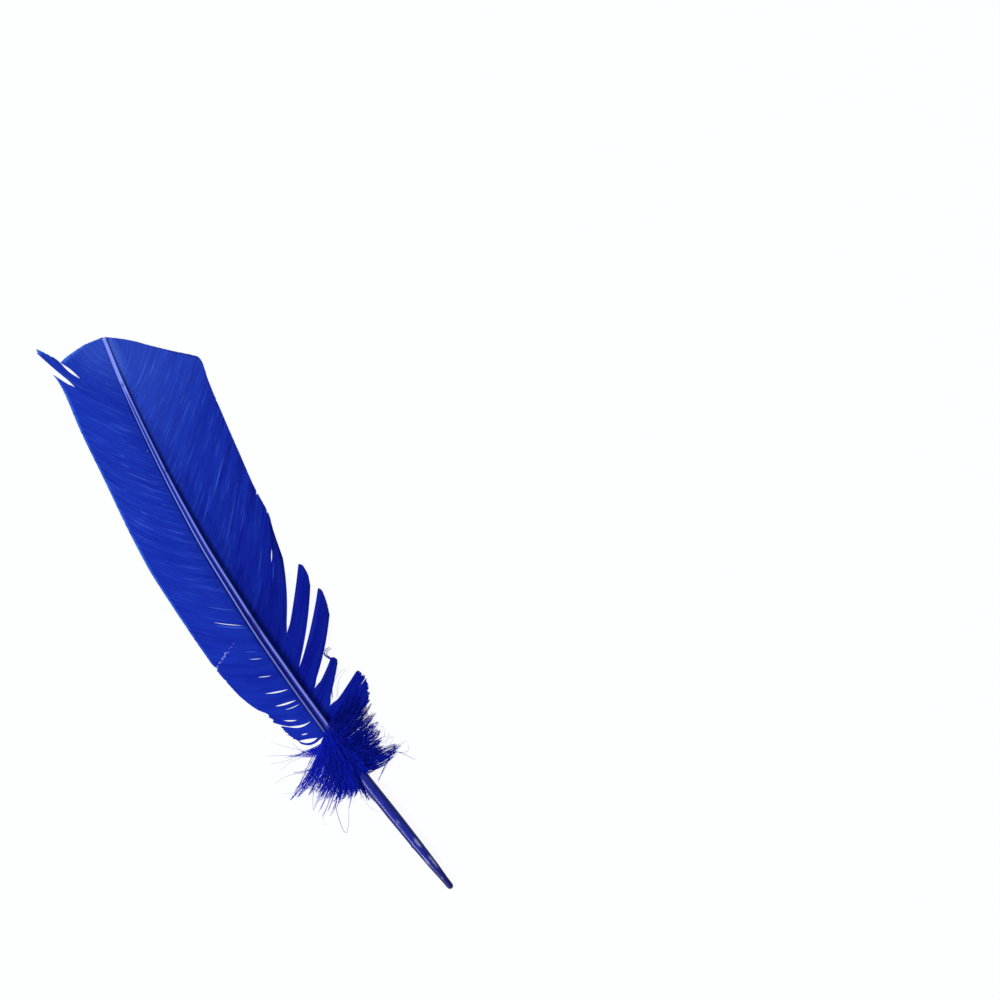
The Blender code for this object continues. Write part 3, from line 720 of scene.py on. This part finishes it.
def barbules(paths, reach):
    """Fine hairs on both sides of each stem: their paths, which stem each is on and how far out.

    Where a stem's reach is below 1, its hairs are shorter and lie closer to it.
    """
    counts = (travelled(paths)[:, -1] / BARBULE_SPACING).astype(int)
    row = np.repeat(np.arange(len(paths)), counts)
    at = rng.uniform(FIRST_BARBULE, 1, len(row))
    place = at * (STEM_PLACES - 1)
    low = np.minimum(place.astype(int), STEM_PLACES - 2)
    t = (place - low)[:, None]
    base = paths[row, low] * (1 - t) + paths[row, low + 1] * t
    way = unit(paths[row, low + 1] - paths[row, low])
    level = unit(np.cross(way, (0, 0, 1.0)))
    sign = np.where(rng.uniform(0, 1, at.shape) < 0.5, -1, 1)[:, None]
    flying = rng.uniform(0, 1, at.shape) < FLYING
    turn = np.radians(rng.uniform(*BARBULE_TURN, at.shape) * reach[row] + FLYING_TURN * flying)[:, None]
    outward = unit(level * sign + np.array((0, 0, 1.0)) * rng.normal(0, BARBULE_RISE, at.shape)[:, None])
    first = way * np.cos(turn) + outward * np.sin(turn)
    length = BARBULE_LENGTH * (1 - BARBULE_TIP_SHORTER * at ** 2) * (1 + FLYING_LONGER * flying)
    length = length * rng.uniform(*BARBULE_LENGTHS, at.shape) * reach[row]
    last = way * 0.95 + rng.normal(0, BARBULE_BEND, way.shape) * (1, 1, 0.6)
    steps = np.linspace(0, 1, len(BARBULE_RADII))[:, None]
    curl = first[:, None] * steps + (last - first)[:, None] * steps ** 2 / 2
    return base[:, None] + length[:, None, None] * curl, row, at


def above_table(paths):
    """Paths with no point below the table."""
    paths[..., 2] = np.maximum(paths[..., 2], TABLE_GAP)
    return paths


def down(name, locks, painted_shade, fluff, thick, **form):
    """One layer of down: locks of stems with fine hairs on both sides, sleeker where fluff is low, darker by
    painted shade.
    """
    strands = Strands("share", "tone")
    paths = above_table(stems(locks, **form))
    share = np.linspace(0, 1, STEM_PLACES)
    radii = np.broadcast_to(thick * (1 - STEM_TAPER * share), paths.shape[:2])
    half_widths = [half_width for *_, half_width in locks]
    counts = [stem_count(half_width) for half_width in half_widths]
    reach = np.repeat([min(1, half_width / FULL_LOCK) * fluff for half_width in half_widths], counts)
    lock_tone = np.repeat(rng.normal(0, LOCK_TONES, len(locks)), counts)
    tone = lock_tone + rng.normal(0, STEM_TONES, len(paths)) - painted_shade
    strands.add(tubes(paths, radii), share=share[None, :, None], tone=tone[:, None, None])
    hairs, row, at = barbules(paths, reach)
    radii = np.broadcast_to(BARBULE_RADII, hairs.shape[:2])
    tone = tone[row] + rng.normal(0, BARBULE_TONES, len(row))
    strands.add(tubes(above_table(hairs), radii), share=at[:, None, None], tone=tone[:, None, None])
    strands.piece(name, down_material(name))


def long_hairs():
    """Single long hairs, near the table."""
    strands = Strands("share", "tone")
    shares = np.linspace(0, 1, STEM_PLACES)[:, None]
    for start, middle, end, radius in HAIRS:
        plan = bent(start, middle, end, shares)
        height = HAIR_HEIGHT - HAIR_FALL * shares + HAIR_WAVE * np.sin(shares * HAIR_TURN)
        paths = np.concatenate((plan, height), -1)[None]
        radii = radius * (1 - HAIR_TAPER * shares[:, 0])[None]
        strands.add(tubes(paths, radii), share=HAIR_SHARE, tone=HAIR_TONE + THICK_HAIR_TONE * radius)
    strands.piece("long_hairs", down_material("long_hairs"))


def add_node(tree, kind, inputs=None, **settings):
    """A node with its settings and inputs, each a value or another node's output."""
    made = tree.nodes.new(kind)
    for name, value in settings.items():
        setattr(made, name, value)
    for name, value in (inputs or {}).items():
        if isinstance(value, bpy.types.NodeSocket):
            tree.links.new(value, made.inputs[name])
        else:
            made.inputs[name].default_value = value
    return made


def field(tree, name):
    """A field that a mesh carries at its points."""
    return add_node(tree, "ShaderNodeAttribute", attribute_name=name).outputs["Fac"]


def math_node(tree, operation, *values):
    """The result of one operation on fields and numbers."""
    return add_node(tree, "ShaderNodeMath", dict(enumerate(values)), operation=operation).outputs[0]


def times(tree, first, second):
    """A product."""
    return math_node(tree, "MULTIPLY", first, second)


def plus(tree, base, part, weight):
    """A sum whose second part has a weight."""
    return math_node(tree, "MULTIPLY_ADD", part, weight, base)


def noise(tree, first, second, scales, seed, detail=3.0):
    """Noise over two fields, each with its own scale, so that it can be drawn out into streaks."""
    vector = add_node(tree, "ShaderNodeCombineXYZ", {
        0: times(tree, first, scales[0]), 1: times(tree, second, scales[1]), 2: seed}).outputs[0]
    return add_node(tree, "ShaderNodeTexNoise", {
        "Vector": vector, "Scale": 1.0, "Detail": detail, "Roughness": 0.55}).outputs["Fac"]


def between(tree, value, low, high):
    """0 below low, 1 above high, and smooth between."""
    return add_node(tree, "ShaderNodeMapRange", {
        "Value": value, "From Min": low, "From Max": high}, interpolation_type="SMOOTHSTEP").outputs[0]


def mixed(tree, share, low, high):
    """Two colours mixed, all low where the share is 0 or less and all high from 1."""
    return add_node(tree, "ShaderNodeMix", {"Factor": share, 6: low, 7: high},
                    data_type="RGBA").outputs[2]


def new_material(name):
    """A material, its node tree and its shader."""
    material = bpy.data.materials.new(name)
    material.use_nodes = True
    tree = material.node_tree
    return material, tree, tree.nodes["Principled BSDF"]


def set_shader(shader, finish):
    """Uniform values on the shader's own sockets."""
    for name, value in finish.items():
        shader.inputs[name].default_value = value


# In the materials below, a pair of values says where something begins to show and from where it
# does so in full. Scales are those of a noise over two fields.

# Where a vane turns from darker to lighter, by root, and how light it is below and above that.
LIGHTENING_ROOTS = {LEFT: (90.0, 240.0), RIGHT: (100.0, 262.0)}
LEAST_LIGHTNESS = {LEFT: 0.44, RIGHT: 0.11}
FULLEST_LIGHTNESS = 0.78
BARB_TONES = 0.1
# Streaks in the dye: scales and strength.
STREAKS = (((0.16, 0.035), 0.7), ((0.6, 0.04), 0.7), ((1.6, 0.06), 0.8))
PALE_SCALES = (1.5, 0.045)
PALE_NOISE = (0.56, 0.74)
PALE_ROOTS = (110.0, 200.0)
PALE_STRENGTH = 0.5
SCRATCH_STRENGTH = 0.9
# A vane pales towards the feather's tip, and the broad one also carries a painted highlight, a pale patch of
# sheen beside the shaft's tip.
HAZE_ROOTS = {LEFT: (255.0, 285.0), RIGHT: (205.0, 270.0)}
HAZE_STRENGTH = {LEFT: 0.35, RIGHT: 0.22}
PAINTED_SHEEN_ROOTS = (262.0, 280.0)
PAINTED_SHEEN_REACH = (9.0, 1.0)
PAINTED_SHEEN_STRENGTH = 0.7
# The narrow vane's edge carries a painted rim of light, by share of the barb, by root and by noise.
RIM_LIGHT_SHARES = (0.93, 0.985)
RIM_LIGHT_ROOTS = (110.0, 160.0)
RIM_LIGHT_SCALES = (0.35, 0.0)
RIM_LIGHT_NOISE = (0.3, 0.55)
VANE_FINISH = {"Roughness": 0.6, "Specular IOR Level": 0.0, "Sheen Weight": 0.08,
               "Sheen Roughness": 0.45, "Sheen Tint": (0.1, 0.3, 1.0, 1.0)}


def vane_material(name, side):
    """Dyed barbs: streaks along the barbs, paler scratches, a soft sheen and painted highlights at the tip
    and edge.
    """
    material, tree, shader = new_material(name)
    root, along, share, tone = (field(tree, part) for part in ("root", "along", "share", "tone"))
    seed = 3.0 * side
    least = LEAST_LIGHTNESS[side]
    light = plus(tree, least, between(tree, root, *LIGHTENING_ROOTS[side]), FULLEST_LIGHTNESS - least)
    light = plus(tree, light, tone, BARB_TONES)
    for scales, strength in STREAKS:
        streak = noise(tree, root, along, scales, seed + scales[0])
        light = plus(tree, light, math_node(tree, "SUBTRACT", streak, 0.5), strength)
    colour = mixed(tree, light, DEEP_DYE, VANE_DYE)
    pale = noise(tree, root, along, PALE_SCALES, seed + 30, 2.0)
    pale = times(tree, between(tree, pale, *PALE_NOISE), between(tree, root, *PALE_ROOTS))
    haze_and_sheen = times(tree, between(tree, root, *HAZE_ROOTS[side]), HAZE_STRENGTH[side])
    # The broad vane's painted highlight: a pale patch of sheen beside the shaft's tip.
    if side == RIGHT:
        painted_sheen = times(tree, between(tree, root, *PAINTED_SHEEN_ROOTS), between(tree, along, *PAINTED_SHEEN_REACH))
        haze_and_sheen = plus(tree, haze_and_sheen, painted_sheen, PAINTED_SHEEN_STRENGTH)
    pale = plus(tree, haze_and_sheen, pale, PALE_STRENGTH)
    pale = plus(tree, pale, field(tree, "scratch"), SCRATCH_STRENGTH)
    colour = mixed(tree, pale, colour, PALE_DYE)
    # A painted rim of light along the narrow vane's edge, the edge that faces the light.
    if side == LEFT:
        rim_light = times(tree, between(tree, share, *RIM_LIGHT_SHARES), between(tree, root, *RIM_LIGHT_ROOTS))
        patchy = noise(tree, root, along, RIM_LIGHT_SCALES, seed + 50, 2.0)
        colour = mixed(tree, times(tree, rim_light, between(tree, patchy, *RIM_LIGHT_NOISE)), colour, RIM_LIGHT_DYE)
    colour = mixed(tree, flecks(tree, side), colour, FLECK_DYE)
    tree.links.new(colour, shader.inputs["Base Color"])
    set_shader(shader, VANE_FINISH)
    return material


# Single flecks, which come in patches.
FLECK_SCALES = (0.9, 0.9)
FLECK_NOISE = (0.74, 0.82)
FLECK_PATCH_SCALES = (0.07, 0.07)
FLECK_PATCH_NOISE = (0.5, 0.62)
FLECK_STRENGTH = {LEFT: 0.45, RIGHT: 0.4}


def flecks(tree, side):
    """Tiny pale flecks where single barbules are bare, and the narrow vane's crease."""
    x, y = field(tree, "x"), field(tree, "y")
    dots = noise(tree, x, y, FLECK_SCALES, 40.0 * side, 1.0)
    patches = noise(tree, x, y, FLECK_PATCH_SCALES, 60.0 * side, 1.0)
    bare = times(tree, between(tree, dots, *FLECK_NOISE), between(tree, patches, *FLECK_PATCH_NOISE))
    if side == LEFT:
        bare = math_node(tree, "MAXIMUM", bare, crease(tree, x, y))
    return times(tree, bare, FLECK_STRENGTH[side])


# A dotted crease across the narrow vane, from its edge inwards.
CREASE_FROM = (-36.3, 138.8)
CREASE_TO = (-22.2, 144.4)
CREASE_REACH = (0.56, 0.175)
CREASE_RISE = 0.3
CREASE_FADE = 6.0
CREASE_WOBBLE = 4.5
WOBBLE_SCALES = (0.35, 0.0)
DOT_SCALES = (1.1, 0.2)
DOT_NOISE = (0.5, 0.68)


def crease(tree, x, y):
    """A wobbly row of pale dots."""
    start, end = np.array(CREASE_FROM), np.array(CREASE_TO)
    way = (end - start) / np.linalg.norm(end - start)
    beside = np.array((-way[1], way[0]))
    out, aside = (plus(tree, times(tree, x, axis[0]), y, axis[1]) for axis in (way, beside))
    wobble = math_node(tree, "SUBTRACT", noise(tree, out, aside, WOBBLE_SCALES, 90.0, 1.0), 0.5)
    aside = plus(tree, aside, wobble, CREASE_WOBBLE)
    away = math_node(tree, "ABSOLUTE", math_node(tree, "SUBTRACT", aside, start @ beside))
    begun = between(tree, out, start @ way - CREASE_RISE, start @ way + CREASE_RISE)
    unfaded = between(tree, out, end @ way, end @ way - CREASE_FADE)
    line = times(tree, between(tree, away, *CREASE_REACH), times(tree, begun, unfaded))
    return times(tree, line, between(tree, noise(tree, out, aside, DOT_SCALES, 80.0, 2.0), *DOT_NOISE))


# Where the groove and the quill lighten and where one turns into the other, along the shaft.
GROOVE_LIGHTENS = (150.0, 215.0)
QUILL_LIGHTENS = (2.0, 24.0)
GROOVE_BEGINS = (80.0, 100.0)
# Clouds in the quill, grain in all of the shaft, and flaws that break up scrapes and ridges.
CLOUD_SCALES = (0.3, 11.0)
CLOUD_NOISE = (0.45, 0.68)
CLOUD_BEGINS = (4.0, 12.0)
CLOUD_STRENGTH = 0.6
GRAIN_SCALES = (0.12, 40.0)
GRAIN_NOISE = (0.3, 0.7)
GRAIN_STRENGTH = 0.35
FLAW_SCALES = (0.8, 14.0)
FLAW_NOISE = (0.34, 0.5)
SCRAPED_FROM = (0.15, 0.6)
SCRAPE_STRENGTH = 0.85
FLANK_SHADE_STRENGTH = 0.9
LEAST_RIDGE = 0.7
FLAWLESS_RIDGE = 0.6
# The shaft is less glossy than the quill, and the quill's worn end is matt.
SHAFT_ROUGHNESS = 0.4
QUILL_GLOSS = -0.14
GLOSS_BEGINS = (95.0, 70.0)
END_MATT = 0.3
END_BEGINS = (18.0, 4.0)
SHAFT_FINISH = {"Specular IOR Level": 0.16}


def shaft_material():
    """Dyed horn: ridges paled partly as a painted highlight, a dark groove, painted shade on the sides, a
    scraped glossy quill.
    """
    material, tree, shader = new_material("quill_and_shaft")
    along, around = field(tree, "along"), field(tree, "around")
    grain = noise(tree, along, around, GRAIN_SCALES, 1.0)
    flaws = noise(tree, along, around, FLAW_SCALES, 5.0)
    cloudy = noise(tree, along, around, CLOUD_SCALES, 9.0)
    groove = mixed(tree, between(tree, along, *GROOVE_LIGHTENS), GROOVE_DYE, GROOVE_TIP_DYE)
    horn = mixed(tree, between(tree, along, *QUILL_LIGHTENS), QUILL_END_AND_FLANK_SHADE_DYE, QUILL_DYE)
    cloud = times(tree, between(tree, cloudy, *CLOUD_NOISE), between(tree, along, *CLOUD_BEGINS))
    horn = mixed(tree, times(tree, cloud, CLOUD_STRENGTH), horn, CLOUD_DYE)
    body = mixed(tree, between(tree, along, *GROOVE_BEGINS), horn, groove)
    body = mixed(tree, times(tree, between(tree, grain, *GRAIN_NOISE), GRAIN_STRENGTH), body, DEEP_DYE)
    scraped = between(tree, field(tree, "scraped"), *SCRAPED_FROM)
    worn = times(tree, scraped, between(tree, flaws, *FLAW_NOISE))
    body = mixed(tree, times(tree, worn, SCRAPE_STRENGTH), body, SCRAPE_DYE)
    # Painted shade darkens the sides of the quill and shaft.
    body = mixed(tree, times(tree, field(tree, "flank"), FLANK_SHADE_STRENGTH), body, QUILL_END_AND_FLANK_SHADE_DYE)
    # The pale ridges are partly paler horn and partly a painted highlight.
    ridge = times(tree, field(tree, "pale"), plus(tree, LEAST_RIDGE, flaws, FLAWLESS_RIDGE))
    tree.links.new(mixed(tree, ridge, body, PALE_RIDGE_AND_HIGHLIGHT_DYE), shader.inputs["Base Color"])
    rough = plus(tree, SHAFT_ROUGHNESS, between(tree, along, *GLOSS_BEGINS), QUILL_GLOSS)
    rough = plus(tree, rough, between(tree, along, *END_BEGINS), END_MATT)
    tree.links.new(rough, shader.inputs["Roughness"])
    set_shader(shader, SHAFT_FINISH)
    return material


DOWN_LIGHT = 0.72
DOWN_TONES = 0.35
DOWN_TIP_LIGHT = 0.1
DOWN_FINISH = {"Roughness": 0.6, "Specular IOR Level": 0.04, "Sheen Weight": 0.08,
               "Sheen Roughness": 0.5, "Sheen Tint": (0.1, 0.25, 1.0, 1.0)}


def down_material(name):
    """Matt dyed down, each lock a little lighter or darker, and lighter to its tip."""
    material, tree, shader = new_material(name)
    light = plus(tree, DOWN_LIGHT, field(tree, "tone"), DOWN_TONES)
    light = plus(tree, light, field(tree, "share"), DOWN_TIP_LIGHT)
    colour = mixed(tree, between(tree, light, 0.0, 1.0), DOWN_DARK, DOWN_DYE)
    tree.links.new(colour, shader.inputs["Base Color"])
    set_shader(shader, DOWN_FINISH)
    return material


# The photograph's frame: its middle on the table, its width, and how far it is turned.
VIEW_MIDDLE = (111.1, 134.1)
VIEW_WIDTH = 447.5
VIEW_TURN = -32.37
LENS = 400.0
SENSOR = 36.0
SKY = (0.97, 0.985, 1.0, 1.0)
SKY_STRENGTH = 0.46
# The far light: where it shines from, its strength and how wide it looks, in degrees.
KEY_FROM = (-0.95, 0.4, 1.0)
KEY_STRENGTH = 3.1
KEY_ANGLE = 22.0
# A long, low softbox on the left: its middle and its length and height in metres, and its power.
SOFTBOX_MIDDLE = (-1.5, -0.1, 1.0)
SOFTBOX_SIZE = (2.4, 0.5)
SOFTBOX_POWER = 110.0
# The floor, in metres, lies a little below the table's plane.
FLOOR_REACH = 6.0
FLOOR_GAP = 0.0002
FLOOR_CORNERS = ((-1, -1), (1, -1), (1, 1), (-1, 1))
FLOOR_FINISH = {"Base Color": PAPER, "Roughness": 0.9, "Specular IOR Level": 0.1,
                "Emission Color": SKY, "Emission Strength": PAPER_GLOW}


def camera():
    """The camera straight above the table, with a long lens."""
    data = bpy.data.cameras.new("camera")
    data.lens = LENS
    data.sensor_width = SENSOR
    made = linked("camera", data)
    height = VIEW_WIDTH * LENS / SENSOR
    made.location = ORIGIN + np.array((*VIEW_MIDDLE, height)) * MM
    made.rotation_euler = (0, 0, math.radians(VIEW_TURN))
    bpy.context.scene.camera = made


def key_light():
    """The far light, which shows in no glossy surface."""
    data = bpy.data.lights.new("key", "SUN")
    data.energy = KEY_STRENGTH
    data.angle = math.radians(KEY_ANGLE)
    made = linked("key", data)
    made.rotation_euler = Vector(KEY_FROM).to_track_quat("Z", "Y").to_euler()
    made.visible_glossy = False


def softbox():
    """The softbox that the quill and the shaft's ridges mirror as a thin line."""
    data = bpy.data.lights.new("softbox", "AREA")
    data.shape = "RECTANGLE"
    data.size, data.size_y = SOFTBOX_SIZE
    data.energy = SOFTBOX_POWER
    made = linked("softbox", data)
    made.location = SOFTBOX_MIDDLE
    made.rotation_euler = Vector((-1, 0, 0)).to_track_quat("Z", "Y").to_euler()
    made.visible_diffuse = False


def studio():
    """A pale floor, an even sky and soft light from the left of the picture."""
    bpy.context.scene.view_settings.view_transform = "Standard"
    world = bpy.data.worlds.new("studio")
    world.use_nodes = True
    background = world.node_tree.nodes["Background"]
    background.inputs["Color"].default_value = SKY
    background.inputs["Strength"].default_value = SKY_STRENGTH
    bpy.context.scene.world = world
    key_light()
    softbox()
    mesh = bpy.data.meshes.new("floor")
    mesh.from_pydata([(FLOOR_REACH * x, FLOOR_REACH * y, -FLOOR_GAP) for x, y in FLOOR_CORNERS],
                     [], [(0, 1, 2, 3)])
    material, _, shader = new_material("floor")
    set_shader(shader, FLOOR_FINISH)
    mesh.materials.append(material)
    linked("floor", mesh)


low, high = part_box("feather")
BROAD_REACH = max(tip[1] for _, outline in RIGHT_GROUPS for tip in outline)
ORIGIN = np.array((high[0] - BROAD_REACH * MM, low[1], low[2]))

camera()
studio()
shaft()
vane(LEFT, LEFT_GROUPS, "narrow_vane")
vane(RIGHT, RIGHT_GROUPS, "broad_vane")
# The down on the right of the shaft, its tuft and the locks over the quill are darkened by painted shade.
down("down_left_low", LEFT_LOW, painted_shade=0.0, fluff=0.6, thick=0.25,
     across=(-0.95, -0.5), up=0.4, arch=1.6, tip_height=0.4, point=0.9)
down("down_plume", PLUME, painted_shade=0.1, fluff=0.4, thick=0.3,
     across=(-0.95, -0.5), up=0.5, arch=1.2, tip_height=0.8, point=0.95)
down("down_left_middle", LEFT_MIDDLE, painted_shade=0.0, fluff=1.0, thick=0.15,
     across=(-0.95, -0.4), up=0.7, arch=1.9, tip_height=1.0, point=0.3)
down("down_left_high", LEFT_HIGH, painted_shade=0.0, fluff=1.0, thick=0.13,
     across=(-0.9, -0.2), up=0.95, arch=2.2, tip_height=1.8, point=0.1)
down("down_over_shaft", OVER_SHAFT, painted_shade=0.2, fluff=1.0, thick=0.13,
     across=(-0.8, 0.8), up=1.0, arch=1.5, tip_height=5.4, point=0.5)
down("down_tuft", TUFT, painted_shade=0.9, fluff=0.5, thick=0.3,
     across=(0.5, 0.95), up=0.4, arch=1.6, tip_height=0.8, point=0.85)
down("down_right_low", RIGHT_LOW, painted_shade=0.9, fluff=0.8, thick=0.3,
     across=(0.5, 0.95), up=0.4, arch=1.6, tip_height=0.5, point=0.6)
down("down_right_middle", RIGHT_MIDDLE, painted_shade=0.8, fluff=1.0, thick=0.15,
     across=(0.4, 0.95), up=0.7, arch=1.8, tip_height=1.4, point=0.3)
down("down_right_high", RIGHT_HIGH, painted_shade=0.7, fluff=1.0, thick=0.13,
     across=(0.0, 0.8), up=1.0, arch=1.8, tip_height=3.0, point=0.1)
long_hairs()
